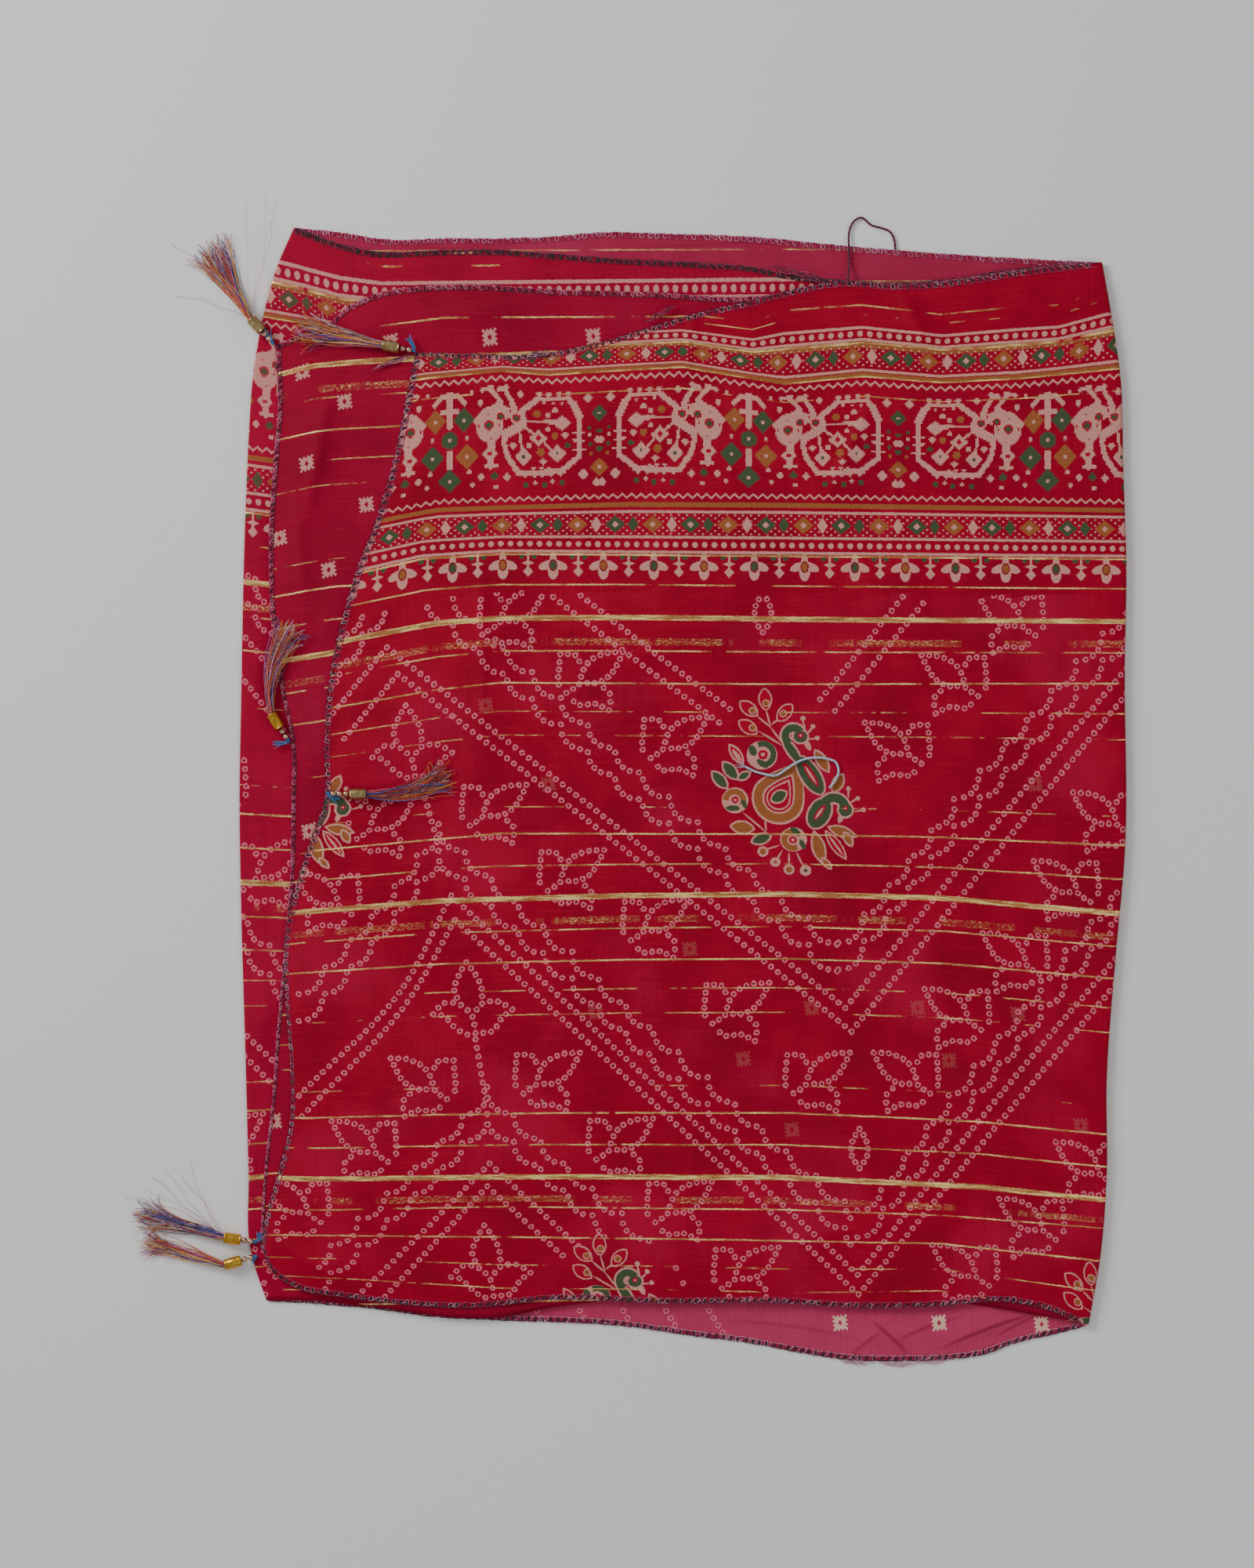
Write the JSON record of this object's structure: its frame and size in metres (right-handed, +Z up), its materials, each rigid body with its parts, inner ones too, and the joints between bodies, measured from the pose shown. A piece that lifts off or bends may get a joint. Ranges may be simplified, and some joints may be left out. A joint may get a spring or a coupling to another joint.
{
  "type": "scarf",
  "caption": "Long printed scarf laid flat, folded end to end and folded again, with beaded tassels at the corners and middle of both short ends.",
  "frame": {"origin": "centre of the underside's bounding box, on the surface that the folded scarf lies on", "axes": "+Z up through the layers, +Y along the long sides towards the edge where the wrong side shows, +X towards the outer fold"},
  "size_m": [0.656, 0.7588, 0.0141],
  "materials": {
    "back_layer": "paler wrong side of the printed cloth",
    "under_layer": "printed silky cotton, right side up",
    "inner_layer": "printed silky cotton, small cream flowers",
    "front_layer": "printed silky cotton with woven metallic lines",
    "gold_bead": "worn gold-coloured beads",
    "blue_tie": "twisted blue thread",
    "mixed_thread": "mixed silky threads",
    "chain_thread": "chained overlock thread",
    "pale_thread": "twisted pale blue thread with a frayed end"
  },
  "bodies": {
    "root": {"back_layer": "back_layer", "ball_front_bottom_1": "gold_bead", "ball_front_bottom_2": "gold_bead", "ball_front_middle_1": "gold_bead", "ball_front_middle_2": "gold_bead", "ball_front_middle_3": "gold_bead", "ball_front_top_1": "gold_bead", "ball_front_top_2": "gold_bead", "ball_inner_bottom_1": "gold_bead", "ball_inner_bottom_2": "gold_bead", "ball_inner_middle_1": "gold_bead", "ball_inner_middle_2": "gold_bead", "ball_inner_top_1": "gold_bead", "ball_inner_top_2": "gold_bead", "barrel_front_bottom": "gold_bead", "barrel_front_middle": "gold_bead", "barrel_front_top": "gold_bead", "barrel_inner_bottom": "gold_bead", "barrel_inner_middle": "gold_bead", "barrel_inner_top": "gold_bead", "front_layer": "front_layer", "inner_layer": "inner_layer", "loose_chain": "chain_thread", "pale_thread": "pale_thread", "tie_front_bottom": "blue_tie", "tie_front_middle": "blue_tie", "tie_front_top": "blue_tie", "tie_inner_bottom": "blue_tie", "tie_inner_middle": "blue_tie", "tie_inner_top": "blue_tie", "tuft_front_bottom": "mixed_thread", "tuft_front_middle": "mixed_thread", "tuft_front_top": "mixed_thread", "tuft_inner_bottom": "mixed_thread", "tuft_inner_middle": "mixed_thread", "tuft_inner_top": "mixed_thread", "under_layer": "under_layer"}
  },
  "joints": []
}
